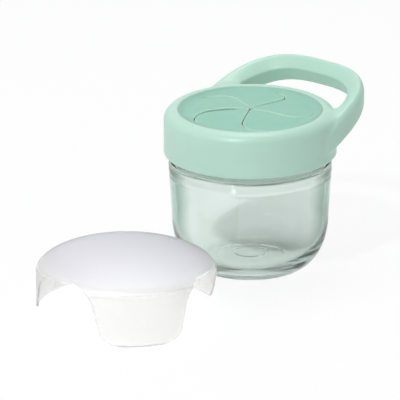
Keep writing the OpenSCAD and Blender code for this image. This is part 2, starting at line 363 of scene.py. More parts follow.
# %% [markdown]
# ## Frosted plastic
# The travel cover is milky polypropylene, about a millimetre thick. Part of the light passes
# through, blurred, and the rest scatters inside. One shader with partial transmission and a rough
# surface gives both, and a slow noise makes the milkiness uneven, as it is in a thin moulding. The
# dome is duller than the wall, and painted shade makes it greyer. Painted shade also darkens the
# edges seen along the skin, and a painted contact shadow darkens the hem.

# %% Frosted plastic


def frosted_plastic():
    """Milky white, with painted shade: greyer on the dome, darker where seen along its skin, and a painted
    contact shadow at the hem.
    """
    material, finish = new_finish("frosted_cover_plastic")
    cloud = finish.noise(45, 4.0, 0.6)
    grain = finish.noise(1900, 2.0, 0.6)
    # Painted shade: the dome turns greyer towards the top, and rougher.
    dome = finish.rise(finish.height(), 27, 33)
    # Painted shade along the edges where the skin is seen side on.
    edge = finish.rise(finish.facing(), 0.8, 0.95)
    # Painted contact shadow along the lowest millimetre of the hem.
    hem = 1 - finish.rise(finish.height(), 0.3, 1.2)
    wall = finish.mix(cloud, linear(244, 242, 241), linear(249, 247, 246))
    body = finish.mix(dome, wall, linear(229, 228, 233))
    edge_shaded = finish.mix(edge * 0.6, body, linear(176, 180, 186))
    color = finish.mix(hem * 0.6, edge_shaded, linear(168, 172, 176))
    shader = finish.node("ShaderNodeBsdfPrincipled", {}, {
        "Base Color": color,
        "Roughness": 0.2 + cloud * 0.08 + dome * 0.3,
        "IOR": 1.45,
        "Transmission Weight": 0.72,
        "Normal": finish.bump(grain, 0.01, 0.5)})
    finish.surface(shader)
    return material


frosted = frosted_plastic()
print("finish:", frosted.name)

# %% [markdown]
# ## Table, studio and lamps
# The photograph is a product shot: a white sweep that looks pure white to the lens, a small key
# lamp high to the left of the camera, and soft light from above and behind. The table is an
# ordinary lit surface for everything except the camera, which sees it lifted most of the way to
# white, so the shadow stays but stays faint. Through the clear cup the true shadow shows.

# %% Table
TABLE_HALF = 3000.0
TABLE_DROP = 0.2         # keeps the table's face just clear of the cup's base
TABLE_LIFT = 0.86        # how far towards white the camera sees the table


def table_finish():
    """A lit white surface. The camera sees it mixed with plain white by TABLE_LIFT."""
    material, finish = new_finish("table_white")
    paper = finish.noise(700, 4.0)
    color = finish.mix(paper, linear(240, 241, 241), linear(245, 246, 246))
    lit = finish.node("ShaderNodeBsdfDiffuse", {}, {"Color": color})
    white = finish.node("ShaderNodeEmission", {}, {"Color": (1, 1, 1, 1), "Strength": 1.0})
    to_camera = finish.node("ShaderNodeLightPath", output="Is Camera Ray")
    shader = finish.node("ShaderNodeMixShader", {}, {0: to_camera * TABLE_LIFT, 1: lit, 2: white})
    finish.surface(shader)
    return material


def add_table():
    """One square, far wider than the view."""
    corner, z = TABLE_HALF * MM, -TABLE_DROP * MM
    mesh = bpy.data.meshes.new("table")
    mesh.from_pydata([(-corner, -corner, z), (corner, -corner, z), (corner, corner, z),
                      (-corner, corner, z)], [], [(0, 1, 2, 3)])
    table = bpy.data.objects.new("table", mesh)
    table.data.materials.append(table_finish())
    bpy.context.scene.collection.objects.link(table)


add_table()
print("table stands below the cup by, mm:", TABLE_DROP)

# %% The room around it
ROOM_STRENGTH = 0.76


def studio_world():
    """White to the camera. To everything else a room that is darker at the sides than above and
    below, and white where the sweep rises behind the cup."""
    world = bpy.data.worlds.new("studio")
    bpy.context.scene.world = world
    finish = Finish(world)
    toward = finish.node("ShaderNodeTexCoord", output="Generated")
    height = finish.node("ShaderNodeVectorMath", {"operation": "DOT_PRODUCT"}, {
        0: toward, 1: (0, 0, 1)}, output="Value")
    behind = finish.node("ShaderNodeVectorMath", {"operation": "DOT_PRODUCT"}, {
        0: toward, 1: (-math.sin(VIEW_AZIMUTH), math.cos(VIEW_AZIMUTH), 0)}, output="Value")
    room = finish.node("ShaderNodeValToRGB", {"stops": [
        (0.0, linear(225, 228, 226)), (0.5, linear(180, 190, 186)),
        (0.62, linear(190, 198, 194)), (1.0, linear(204, 208, 206))]}, {0: height * 0.5 + 0.5})
    lit = finish.mix(finish.rise(behind, 0.2, 0.8), room, (1, 1, 1, 1))
    to_camera = finish.node("ShaderNodeLightPath", output="Is Camera Ray")
    color = finish.mix(to_camera, lit, (1, 1, 1, 1))
    shader = finish.node("ShaderNodeBackground", {}, {"Color": color, "Strength": ROOM_STRENGTH})
    finish.surface(shader, "ShaderNodeOutputWorld")


studio_world()
print("world:", bpy.context.scene.world.name)

# %% Lamps
LAMP_DISTANCE = 1500.0
BOUNCES = 24             # light runs a long way inside the thick base


def add_lamp(name, azimuth, elevation, width, height, watts):
    """A softbox, in degrees and millimetres, that looks at the middle of the cup's base."""
    data = bpy.data.lights.new(name, "AREA")
    data.shape = "ELLIPSE"
    data.size = width * MM
    data.size_y = height * MM
    data.energy = watts
    lamp = bpy.data.objects.new(name, data)
    toward = direction(math.radians(azimuth), math.radians(elevation))
    lamp.location = toward * (LAMP_DISTANCE * MM)
    lamp.rotation_euler = toward.to_track_quat("Z", "Y").to_euler()
    bpy.context.scene.collection.objects.link(lamp)


add_lamp("key_lamp", 12, 49, 80, 110, 6.8)
add_lamp("strip_lamp", 11, 48, 150, 1000, 1.4)
add_lamp("fill_lamp", -35, 30, 900, 900, 1.4)
add_lamp("top_lamp", 220, 72, 700, 700, 5.4)
bpy.context.scene.view_settings.view_transform = "Standard"
for kind in ("max", "glossy", "transmission"):
    setattr(bpy.context.scene.cycles, f"{kind}_bounces", BOUNCES)
print("lamps:", [lamp.name for lamp in bpy.data.lights])

# %% [markdown]
# ## Meshes from grids
# Every piece is a closed surface on a grid of points, worked out as whole arrays. These helpers
# number the quads of a grid, put points and faces into a mesh, and turn a profile round the axis.

# %% Faces of a grid


def grid_faces(rows, columns, wrap_rows=False, wrap_columns=False, first=0):
    """Quads of a grid numbered row by row. They face along (row direction) x (column direction)."""
    row, column = np.meshgrid(np.arange(rows - (not wrap_rows)),
                              np.arange(columns - (not wrap_columns)), indexing="ij")
    next_row = (row + 1) % rows
    next_column = (column + 1) % columns
    quads = np.stack([row * columns + column, next_row * columns + column,
                      next_row * columns + next_column, row * columns + next_column], axis=-1)
    return first + quads.reshape(-1, 4)


print("a grid of 3 by 4 points has", len(grid_faces(3, 4)), "quads, and closed into a ring of 4,",
      len(grid_faces(3, 4, False, True)))

# %% From arrays to an object


def enclosed(points, faces):
    """Volume inside the faces, in cubic centimetres: positive where they all point outwards."""
    total = 0.0
    for part in faces:
        for corner in range(1, part.shape[1] - 1):
            a, b, c = (points[part[:, k]] for k in (0, corner, corner + 1))
            total += (a * np.cross(b, c)).sum() / 6
    return total / 1000


def add_piece(name, points, faces, material, normals=None, cut_edge=None):
    """Makes an object from points in millimetres and a list of face arrays."""
    mesh = bpy.data.meshes.new(name)
    corners = np.concatenate([part.ravel() for part in faces])
    sizes = np.concatenate([np.full(len(part), part.shape[1]) for part in faces])
    mesh.vertices.add(len(points))
    mesh.vertices.foreach_set("co", (points * MM).astype(np.float32).ravel())
    mesh.loops.add(len(corners))
    mesh.loops.foreach_set("vertex_index", corners.astype(np.int32))
    mesh.polygons.add(len(sizes))
    mesh.polygons.foreach_set("loop_start", (np.cumsum(sizes) - sizes).astype(np.int32))
    mesh.polygons.foreach_set("use_smooth", np.ones(len(sizes), dtype=bool))
    # A point attribute that carries the painted highlight along the flaps' cut edges.
    if cut_edge is not None:
        near_cut_highlight = mesh.attributes.new("cut_edge", "FLOAT", "POINT")
        near_cut_highlight.data.foreach_set("value", cut_edge.astype(np.float32))
    mesh.update(calc_edges=True)
    mesh.validate()
    if normals is not None:
        mesh.normals_split_custom_set_from_vertices(normals)
    mesh.materials.append(material)
    piece = bpy.data.objects.new(name, mesh)
    bpy.context.scene.collection.objects.link(piece)
    print(f"{name}: {int((sizes - 2).sum())} triangles, {enclosed(points, faces):.2f} cubic cm")
    return piece


corner_points = np.eye(4, 3) * 10
corner_faces = [np.array([[0, 1, 2], [3, 1, 0], [3, 2, 1], [3, 0, 2]])]
print("a corner of a 1 cm cube holds", round(enclosed(corner_points, corner_faces), 4), "cubic cm")

# %% Turning a profile
COLUMNS = 256            # points round a turned piece


def turned(radius, z, angle):
    """Points at that radius, height and angle round Z, for arrays of one shape."""
    return np.stack([radius * np.cos(angle), radius * np.sin(angle), z + 0 * angle], axis=-1)


def turned_profile(profile, bulge):
    """Turns an (r, z) profile round Z. bulge adds to the radius as a function of angle, r, z."""
    angle = np.arange(COLUMNS) * 2 * np.pi / COLUMNS
    radius = profile[:, :1] + 0 * angle
    z = profile[:, 1:] + 0 * angle
    radius = radius + bulge(angle, radius, z)
    return turned(radius, z, angle + 0 * radius).reshape(-1, 3)


def with_poles(rows, columns, points, first_pole, last_pole):
    """Closes a tube of rows into a shell: a fan from each end row to a pole. Faces point as the
    quads of the grid do."""
    first = np.arange(columns)
    last = first + (rows - 1) * columns
    start = np.stack([first, np.roll(first, -1), np.full(columns, len(points))], axis=1)
    end = np.stack([np.roll(last, -1), last, np.full(columns, len(points) + 1)], axis=1)
    return (np.concatenate([points, [first_pole, last_pole]]),
            [grid_faces(rows, columns, False, True), start, end])


print("columns round a turned piece:", COLUMNS)

# %% Paths with round corners


def spaced(path, step):
    """Adds points to a path's long stretches, so that none is longer than step."""
    lengths = np.linalg.norm(np.diff(path, axis=0), axis=1)
    counts = np.maximum(1, np.ceil(lengths / step).astype(int))
    starts = np.repeat(np.arange(len(counts)), counts)
    share = (np.arange(counts.sum()) - np.repeat(np.cumsum(counts) - counts, counts)) / counts[starts]
    inner = path[starts] + (path[starts + 1] - path[starts]) * share[:, None]
    return np.concatenate([inner, path[-1:]])


def rounded_path(corners, step):
    """An open path through (x, y, radius) corners: arcs at the corners, points at most step apart."""
    corners = np.asarray(corners, float)
    stretches = [corners[:1, :2]]
    for before, corner, after in zip(corners[:-2], corners[1:-1], corners[2:]):
        u = (before - corner)[:2]
        v = (after - corner)[:2]
        u /= np.linalg.norm(u)
        v /= np.linalg.norm(v)
        half = math.acos(float(np.clip(u @ v, -1, 1))) / 2
        middle = (u + v) / np.linalg.norm(u + v)
        centre = corner[:2] + middle * corner[2] / math.sin(half)
        count = max(2, math.ceil((math.pi - 2 * half) * corner[2] / step))
        sweep = (math.pi - 2 * half) * (np.linspace(-0.5, 0.5, count + 1))
        sweep *= 1 if u[0] * v[1] - u[1] * v[0] < 0 else -1
        base = math.atan2(-middle[1], -middle[0])
        stretches.append(centre + corner[2] * np.stack([np.cos(base + sweep), np.sin(base + sweep)], 1))
    stretches.append(corners[-1:, :2])
    return spaced(np.concatenate(stretches), step)


def smoothstep(low, high, value):
    """0 below low, 1 above high, and a smooth rise between them."""
    share = np.clip((value - low) / (high - low), 0, 1)
    return share * share * (3 - 2 * share)


quarter = rounded_path([(0, 0, 0), (10, 0, 5), (10, 10, 0)], step=1)
print("a right angle with a 5 mm round takes", len(quarter), "points")

# %% [markdown]
# ## The cup
# The cup is one thick clear moulding: a round lower corner, a wall that widens upwards, a shoulder,
# and a neck with three thread ribs. It is turned from one profile that runs out along the outside
# and back along the inside, so refraction sees true wall thickness. The ribs are a bulge on the neck.

# %% Cup sizes, millimetres
cup_h = span("cup")[1][2]
cup_r = 42.1
cup_draft = 1.8
neck_h = 19.4
neck_step = 2.3
cup_wall = 2.3
neck_wall = 2.0
cup_floor = 5.0
corner_w = 17.2
corner_h = 26.8
wall_bend = 3.0          # over how much height the corner turns into the wall
foot_r = 19.0            # the base stands on a foot ring round a shallow recess
foot_recess = 0.4
foot_slope = 2.2
foot_round = 4.0
floor_ring_r = 10.0
floor_ring_w = 2.2
floor_ring_depth = 0.35
floor_ring_round = 0.9
shoulder_h = cup_h - neck_h
shoulder_round = 1.4
neck_foot_round = 0.5
rim_round = 0.7
inner_shoulder_round = 3.0
neck_r = cup_r - neck_step
corner_top_r = cup_r - cup_draft
base_r = corner_top_r - corner_w
wall_top_z = shoulder_h - 4.4
wall_lean = cup_draft / (wall_top_z - corner_h)
thread_lead = 12.0
thread_starts = 3
rib_z = shoulder_h + 7.2
rib_out = 1.6
rib_half = 1.1
rib_arc = math.radians(110)
rib_fade = 0.09          # angle over which a rib runs out at its ends
print("cup and shoulder stand, mm:", round(cup_h, 2), round(shoulder_h, 2))

# %% The cup's profile


def soft_rise(value, width):
    """0 well below 0 and the value itself well above it, with a smooth bend of that width."""
    return width * np.logaddexp(0, value / width)


def lean(z):
    """How far the wall has leaned out at a height: nothing in the corner, then a straight draft."""
    return wall_lean * soft_rise(z - corner_h, wall_bend)


def corner_curve(centre_r, width, height, floor, count=34):
    """Quarter ellipse from the base up to the wall, leaning on into the wall's draft."""
    angle = np.linspace(0, np.pi / 2, count)
    z = floor + height * (1 - np.cos(angle))
    return np.stack([centre_r + width * np.sin(angle) + lean(z), z], axis=1)


def wall_line(radius, low, high, count=40):
    """The wall above the corner: it leans out, and its lower end bends smoothly into the corner."""
    z = np.linspace(low, high, count)
    return np.stack([radius + lean(z), z], axis=1)


def cup_profile():
    """Out along the underside, up the outside, over the rim and back down the inside."""
    outer_corner = corner_curve(base_r, corner_w, corner_h, 0)
    outer_wall = wall_line(corner_top_r, corner_h + 0.8, wall_top_z)
    foot = rounded_path([(0, foot_recess, 0), (foot_r - foot_slope, foot_recess, foot_round),
                         (foot_r, 0, foot_round), (base_r, 0, 0)], step=0.8)
    shoulder = rounded_path([(cup_r, wall_top_z + 0.5, 0), (cup_r, shoulder_h, shoulder_round),
                             (neck_r, shoulder_h, neck_foot_round), (neck_r, cup_h, rim_round),
                             (neck_r - neck_wall, cup_h, rim_round),
                             (neck_r - neck_wall, shoulder_h - 0.5, inner_shoulder_round),
                             (cup_r - cup_wall, wall_top_z - 1, inner_shoulder_round),
                             (cup_r - cup_wall - 0.1, wall_top_z - 2.5, 0)], step=0.36)
    inner_wall = wall_line(corner_top_r - cup_wall, corner_h + 0.8, wall_top_z - 3)[::-1]
    floor_r = base_r - cup_wall / 2
    inner_width = corner_top_r - cup_wall - floor_r
    inner_corner = corner_curve(floor_r, inner_width, corner_h - cup_floor, cup_floor)[::-1]
    floor = rounded_path([(floor_r, cup_floor, 0), (floor_ring_r, cup_floor, floor_ring_round),
                          (floor_ring_r - floor_ring_w / 2, cup_floor - floor_ring_depth, floor_ring_round),
                          (floor_ring_r - floor_ring_w, cup_floor, floor_ring_round),
                          (0, cup_floor, 0)], step=0.6)
    return np.concatenate([foot[:-1], outer_corner, outer_wall, shoulder, inner_wall, inner_corner,
                           floor[1:]])


cup_path = cup_profile()
print("points on the cup's profile:", len(cup_path), "widest at, mm:", round(cup_path[:, 0].max(), 2))

# %% Thread ribs


def thread_bulge(angle, radius, z):
    """Three ribs that climb the neck's outside: a rounded bar whose middle rises with the angle."""
    outside = (radius > neck_r - 0.3) & (z > shoulder_h + 1.5)
    bulge = np.zeros_like(radius)
    for start in range(thread_starts):
        along = (angle - start * 2 * np.pi / thread_starts) % (2 * np.pi)
        middle = rib_z + thread_lead * along / (2 * np.pi)
        body = 1 - smoothstep(0.35 * rib_half, rib_half, np.abs(z - middle))
        ends = smoothstep(0, rib_fade, along) * (1 - smoothstep(rib_arc - rib_fade, rib_arc, along))
        bulge = np.maximum(bulge, body * ends)
    return np.where(outside, rib_out * bulge, 0)


print("each rib climbs, mm:", round(thread_lead * rib_arc / (2 * np.pi), 2))

# %% Cup


def add_cup():
    """Turns the profile, with both ends closed by poles on the axis."""
    points = turned_profile(cup_path[1:-1], thread_bulge)
    poles = [[0, 0, cup_path[0, 1]], [0, 0, cup_path[-1, 1]]]
    points, faces = with_poles(len(cup_path) - 2, COLUMNS, points, *poles)
    return add_piece("cup_shell", points, [part[:, ::-1] for part in faces], clear)


cup = add_cup()
cup.visible_shadow = False      # lamps shine through clear plastic
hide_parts("cup")
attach(cup, "cup")

# %% [markdown]
# ## Collar and loop as one smooth solid
# The collar and its carry loop are one moulding, and the loop grows out of the collar's wall with
# no seam. Two meshes pushed into each other would show a hard line there. Instead the shape is a
# formula that is negative inside and positive outside: a smooth minimum melts the loop into the
# wall, a smooth maximum rounds every edge, and one mesh is wrapped round the zero level.

# %% Sizes of the collar and loop, millimetres
collar_low, collar_high = span("screw_collar")
loop_high = span("carry_loop")[1]
collar_r = collar_high[0]
top_z = collar_high[2]
collar_z = collar_low[2]
collar_in = neck_r + 2.6
ledge_z = cup_h + 2.5
bore_r = collar_in - 5.3
collar_round = 6.0
hem_round = 0.8
loop_far = loop_high[1]
loop_half = collar_r - 0.5
loop_mid = 7.7           # where the straight sides end and the round end begins
loop_power = 2.84        # squareness of the round end
loop_start = -4.0
loop_t = 8.4
root_t = 12.2
crown_root = -10.1       # heights at the roots and at the far end, from the collar's rim
crown_rise = loop_high[2] - top_z
crown_bow = 1.8
crown_lift = 0.35
crown_round = 5.0
crown_share = 0.22       # share of the loop's thickness that lies level at the crown
inner_root = -2.2
inner_rise = 5.4
inner_bow = -2.6
inner_round = 0.8
undercut = 0.5           # how far the far end's inner wall falls back for each millimetre down
under_root = 0.6 - (top_z - collar_z)
under_rise = 1.6
under_tilt = 0.5         # how much lower the far end's underside is towards the inner wall
under_round = 1.6
melt_width = 3.5         # how widely the loop melts into the collar's wall
melt_grows = 9.0         # over this much y from the axis the melt grows to its full width
melt_depth = 3.0         # and over this much depth behind the loop's outer edge
ledge_round = 0.5
cavity_round = 0.7
bore_round = 0.9
print("collar radius and rim, mm:", round(collar_r, 2), round(top_z, 2))
print("loop reaches, mm:", round(loop_far, 2))

# %% Smooth joins


def smooth_min(a, b, width):
    """The smaller of two values, with a round join of that width where they meet."""
    share = np.clip(1 - np.abs(a - b) / np.maximum(width, 1e-6), 0, 1)
    return np.minimum(a, b) - share * share * width / 4


def smooth_max(a, b, width):
    """The larger of two values, joined in the same way."""
    return -smooth_min(-a, -b, width)


print("two zeros joined over a width of 1:", smooth_min(0.0, 0.0, 1.0), smooth_max(0.0, 0.0, 1.0))

# %% The loop's plan


def loop_plan(count=500):
    """The loop's outer edge: straight legs, then half a superellipse round the far end."""
    angle = np.linspace(0, np.pi, count)
    cosine = np.cos(angle)
    x = loop_half * np.sign(cosine) * np.abs(cosine) ** (2 / loop_power)
    y = loop_mid + (loop_far - loop_mid) * np.abs(np.sin(angle)) ** (2 / loop_power)
    leg = np.array([[loop_half, loop_start - 30]])
    return np.concatenate([leg, np.stack([x, y], axis=1), leg * [-1, 1]])


print("points on the loop's outer edge:", len(loop_plan()))

# %% Distance from the loop's outer edge
PLAN_STEP = 0.4
PLAN_LOW = np.array([-48.0, -10.0])
PLAN_COUNT = np.array([241, 191])


def plan_table():
    """Distance from the loop's outer edge, positive outside, and the nearest point's y, on a grid."""
    path = loop_plan()
    start = path[:-1]
    step = np.diff(path, axis=0)
    length = np.linalg.norm(step, axis=1)
    step = step / length[:, None]
    x = PLAN_LOW[0] + PLAN_STEP * np.arange(PLAN_COUNT[0])
    distance = np.zeros(PLAN_COUNT)
    foot = np.zeros(PLAN_COUNT)
    for column, y in enumerate(PLAN_LOW[1] + PLAN_STEP * np.arange(PLAN_COUNT[1])):
        dx = x[:, None] - start[None, :, 0]
        dy = y - start[:, 1]
        along = np.clip(dx * step[:, 0] + dy * step[:, 1], 0, length)
        gap_x = dx - along * step[:, 0]
        gap_y = dy - along * step[:, 1]
        gap = gap_x * gap_x + gap_y * gap_y
        best = gap.argmin(axis=1)
        row = np.arange(len(x))
        side = dx[row, best] * step[best, 1] - dy[best] * step[best, 0]
        distance[:, column] = np.sqrt(gap[row, best]) * np.sign(side)
        foot[:, column] = start[best, 1] + along[row, best] * step[best, 1]
    return distance, foot


plan_distance, plan_foot = plan_table()


def read_plan(table, x, y):
    """Reads a plan table between its grid points."""
    u = np.clip((x - PLAN_LOW[0]) / PLAN_STEP, 0, PLAN_COUNT[0] - 1.001)
    v = np.clip((y - PLAN_LOW[1]) / PLAN_STEP, 0, PLAN_COUNT[1] - 1.001)
    i = u.astype(int)
    j = v.astype(int)
    u = u - i
    v = v - j
    return ((table[i, j] * (1 - v) + table[i, j + 1] * v) * (1 - u)
            + (table[i + 1, j] * (1 - v) + table[i + 1, j + 1] * v) * u)


print("loop plan table:", plan_distance.shape)

# %% Collar and loop as a formula


def bowed(root, far, bow, share):
    """Height at a share of the way from the root to the far end."""
    return root + (far - root) * share + bow * 4 * share * (1 - share)


def collar_level(radius, z):
    """A drum with a large round at the top and a small one at the bottom."""
    middle = (top_z + collar_z) / 2
    rounding = np.where(z > middle, collar_round, hem_round)
    out = radius - (collar_r - rounding)
    up = np.abs(z - middle) - ((top_z - collar_z) / 2 - rounding)
    outside = np.hypot(np.maximum(out, 0), np.maximum(up, 0))
    return outside + np.minimum(np.maximum(out, up), 0) - rounding


ROOF_SCALE = 0.85        # height above the sloping top, turned into rough distance from it


def loop_level(x, y, z, edge):
    """A bar with a straight outer wall, a crown near it, and a top that falls to the inner edge."""
    share = np.clip(read_plan(plan_foot, x, y) / loop_far, 0, 1)
    width = root_t + (loop_t - root_t) * share
    crown = top_z + crown_lift + bowed(crown_root, crown_rise, crown_bow, share)
    inner = top_z + bowed(inner_root, inner_rise, inner_bow, share)
    rise = np.clip((edge + width) / ((1 - crown_share) * width), 0, 1)
    roof = inner + (crown - inner) * (0.5 * rise + 0.5 * np.sin(np.pi / 2 * rise))
    slope = (under_rise - under_root) / loop_far
    under = top_z + under_root + slope * y - under_tilt * share * np.clip(-edge, 0, width)
    level = smooth_max(edge, (z - roof) * ROOF_SCALE, crown_round)
    wall = (undercut * share * (inner - z) - width - edge) / math.hypot(1, undercut)
    level = smooth_max(level, wall, inner_round)
    level = smooth_max(level, (under - z) / math.hypot(1, slope), under_round)
    return np.maximum(level, loop_start - y)


def moulding_level(x, y, z):
    """The whole moulding: collar and loop melted together, then hollowed from below."""
    radius = np.hypot(x, y)
    edge = read_plan(plan_distance, x, y)
    melt = melt_width * smoothstep(0, melt_grows, y) * smoothstep(0, melt_depth, -edge)
    level = smooth_min(collar_level(radius, z), loop_level(x, y, z, edge), melt)
    cavity = smooth_max(radius - collar_in, z - ledge_z, ledge_round)
    level = smooth_max(level, -cavity, cavity_round)
    return smooth_max(level, bore_r - radius, bore_round)


in_wall = np.array([[0.0], [-(collar_r + collar_in) / 2], [(collar_z + ledge_z) / 2]])
print("level in the middle of the collar's wall, mm:", moulding_level(*in_wall).round(2))

# %% A mesh round the zero level


def surface_net(level, low, high, step):
    """One point in each grid cell that the surface crosses, one quad round each crossed grid edge."""
    counts = np.ceil((high - low) / step).astype(int) + 1
    grid = [low[axis] + step * np.arange(counts[axis]) for axis in range(3)]
    values = level(*np.meshgrid(*grid, indexing="ij"))
    quads = []
    crossings = []
    for axis in range(3):
        side, other = (axis + 1) % 3, (axis + 2) % 3
        here = np.moveaxis(values, (axis, side, other), (0, 1, 2))
        first, second = here[:-1], here[1:]
        found = np.argwhere((first < 0) != (second < 0))
        a, b = first[tuple(found.T)], second[tuple(found.T)]
        point = np.zeros((len(found), 3))
        point[:, [axis, side, other]] = found
        point[:, axis] += a / (a - b)
        cells = []
        for down_side, down_other in ((1, 1), (0, 1), (0, 0), (1, 0)):
            cell = np.zeros((len(found), 3), dtype=int)
            cell[:, [axis, side, other]] = found - [0, down_side, down_other]
            cells.append(np.ravel_multi_index(tuple(cell.T), counts))
        quad = np.stack(cells, axis=1)
        quads.append(np.where((a < 0)[:, None], quad, quad[:, ::-1]))
        crossings.append(np.repeat(point[:, None], 4, axis=1).reshape(-1, 3))
    quads = np.concatenate(quads)
    crossings = np.concatenate(crossings)
    numbers = np.unique(quads.ravel(), return_inverse=True)[1]
    hits = np.bincount(numbers)
    points = np.stack([np.bincount(numbers, crossings[:, axis]) / hits for axis in range(3)], axis=1)
    return low + points * step, numbers.reshape(-1, 4)


def ball_level(x, y, z):
    """A ball of radius 1, to try the net on: the distance from the middle, less 1."""
    return np.sqrt(x * x + y * y + z * z) - 1


ball_net = surface_net(ball_level, np.full(3, -1.5), np.full(3, 1.5), 0.5)
print("the net of a small ball has", len(ball_net[0]), "points and", len(ball_net[1]), "quads")

# %% Points moved onto the surface


def level_slope(level, points, reach=0.05):
    """The direction in which the level rises fastest, by differences."""
    slope = np.zeros_like(points)
    for axis in range(3):
        step = np.zeros(3)
        step[axis] = reach
        slope[:, axis] = level(*(points + step).T) - level(*(points - step).T)
    return slope / (2 * reach)


def onto_surface(level, points):
    """Moves points along the slope until the level there is zero."""
    slope = level_slope(level, points)
    steep = np.maximum((slope * slope).sum(axis=1), 0.05)
    move = -(level(*points.T) / steep)[:, None] * slope
    return points + np.clip(move, -0.4, 0.4)


def relaxed(level, points, quads, rounds=4):
    """Evens out the quads: each point moves towards its neighbours' mean, within the surface."""
    start = np.concatenate([quads[:, k] for k in range(4)])
    end = np.concatenate([quads[:, (k + 1) % 4] for k in range(4)])
    count = np.bincount(start, minlength=len(points))
    for _ in range(rounds):
        mean = np.stack([np.bincount(start, points[end, axis], len(points)) for axis in range(3)], 1)
        normal = level_slope(level, points)
        normal /= np.linalg.norm(normal, axis=1, keepdims=True)
        shift = mean / count[:, None] - points
        shift -= (shift * normal).sum(axis=1, keepdims=True) * normal
        points = onto_surface(level, points + 0.6 * shift)
    return points


moved = onto_surface(ball_level, np.array([[1.2, 0.0, 0.0]]))
print("a point 0.2 off the ball moves to", moved.round(3)[0])

# %% Collar and loop
NET_STEP = 0.62
net_low = np.array([-collar_r - 1, -collar_r - 1, collar_z - 1])
net_high = np.array([collar_r + 1, loop_far + 1, loop_high[2] + 1.5])
net_points, net_quads = surface_net(moulding_level, net_low, net_high, NET_STEP)
for _ in range(3):
    net_points = onto_surface(moulding_level, net_points)
net_points = relaxed(moulding_level, net_points, net_quads)
net_normals = level_slope(moulding_level, net_points)
net_normals /= np.linalg.norm(net_normals, axis=1, keepdims=True)
moulding = add_piece("collar_and_loop", net_points, [net_quads], mint_plastic, net_normals)
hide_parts("screw_collar", "carry_loop")
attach(moulding, "collar")
print("moulding top, mm:", round(net_points[:, 2].max(), 2), "of", round(loop_high[2], 2))

# %% [markdown]
# ## Lugs of the thread
# Three short lugs inside the collar run between the neck's ribs. Each is a small four-sided section
# carried along a helix of the same lead as the thread. Its foot is sunk into the collar's wall, and
# its height is shrunk to almost nothing at both ends, so that the lug runs out smoothly.

# %% Lugs
lug_start = math.radians(30)
lug_arc = math.radians(50)
lug_tip = neck_r + 0.55
lug_foot = collar_in + 0.3
lug_taper = 0.5
lug_round = 0.3
lug_fade = 0.08          # share of its length over which a lug runs out
lug_z = rib_z + thread_lead * (lug_start / (2 * np.pi) - 0.5 / thread_starts)


def lug_points(start):
    """Rings of the lug's section along the helix, closed by a small ring at both ends."""
    section = rounded_path([(lug_foot, rib_half, 0), (lug_tip, rib_half - lug_taper, lug_round),
                            (lug_tip, lug_taper - rib_half, lug_round), (lug_foot, -rib_half, 0)],
                           step=0.35)
    along = np.linspace(0, 1, 33)
    fade = smoothstep(0, lug_fade, along) * (1 - smoothstep(1 - lug_fade, 1, along))
    radius = lug_foot + (section[:, 0] - lug_foot) * (0.05 + 0.95 * fade[:, None])
    z = lug_z + thread_lead * lug_arc * along[:, None] / (2 * np.pi) + section[:, 1]
    angle = start + lug_start + lug_arc * along[:, None] + 0 * radius
    return turned(radius, z, angle).reshape(-1, 3), len(along), len(section)


def add_lugs():
    """Three copies of the lug round the axis, each with a fan of triangles over both ends."""
    points = []
    faces = []
    for number in range(thread_starts):
        part, rings, around = lug_points(number * 2 * np.pi / thread_starts)
        first = number * rings * around
        points.append(part)
        faces.append(grid_faces(rings, around, False, True, first))
        cap = first + np.arange(around)
        inner = np.arange(1, around - 1)
        faces.append(np.stack([cap[0] + 0 * inner, cap[inner], cap[inner + 1]], axis=1))
        cap = cap + (rings - 1) * around
        faces.append(np.stack([cap[0] + 0 * inner, cap[inner + 1], cap[inner]], axis=1))
    piece = add_piece("collar_lugs", np.concatenate(points), faces, mint_plastic)
    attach(piece, "collar")


add_lugs()

# %% [markdown]
# ## The insert's rim
# The soft insert is one silicone moulding. Its fixed part is turned from one profile: a rounded lip
# just below the collar's edge, a hollow slope down to a crease, and under the collar a web and a
# flange that is the seal on the cup's rim. The five flaps follow as pieces of their own.

# %% Insert rim
lip_r = bore_r - 0.04
lip_z = top_z - 0.3
crease_r = lip_r - 3.8
crease_z = top_z - 1.8
slope_rise = 0.42        # how steeply the edge of the bowl rises to the lip
slope_end = 0.5          # how far inside the lip the slope reaches its height
crease_round = 1.6
sheet_t = 1.3
sheet_out = lip_r - 1.0
rim_reach = 1.2          # how far the rim runs in under the flaps' outer ends
rim_gap = 0.04           # and how far below their skin it stays there
dome_top = top_z + 0.1
flange_in = lip_r - 2.1
flange_out = collar_in - 0.7
flange_t = 2.4


def sheet_height(radius):
    """The sheet's top: a shallow dome that runs in a soft bend into the slope below the lip."""
    dome = dome_top - (dome_top - crease_z) * (radius / crease_r) ** 2
    slope = lip_z - slope_rise * (lip_r - slope_end - radius)
    return smooth_max(dome, slope, crease_round)


def insert_profile():
    """Out along the slope under the flaps' ends, over the lip, and round the flange to the web."""
    start_r = sheet_out - rim_reach
    under_flaps = np.linspace(start_r, sheet_out + 0.15, 5)
    slope = [(radius, sheet_height(radius) - rim_gap, 0.01) for radius in under_flaps]
    low = sheet_height(start_r) - sheet_t
    flange = [(lip_r - 0.45, lip_z, 0.25), (lip_r, lip_z, 0.12), (lip_r, cup_h + flange_t, 0.3),
              (flange_out, cup_h + flange_t, 0.5), (flange_out, cup_h, 0.5), (flange_in, cup_h, 0.4),
              (flange_in, low - 1.0, 0.6), (start_r, low, 0.2)]
    start = (start_r, low + sheet_t / 2, 0)
    path = rounded_path([start, *slope, *flange, start], step=0.4)
    return path[:-1]


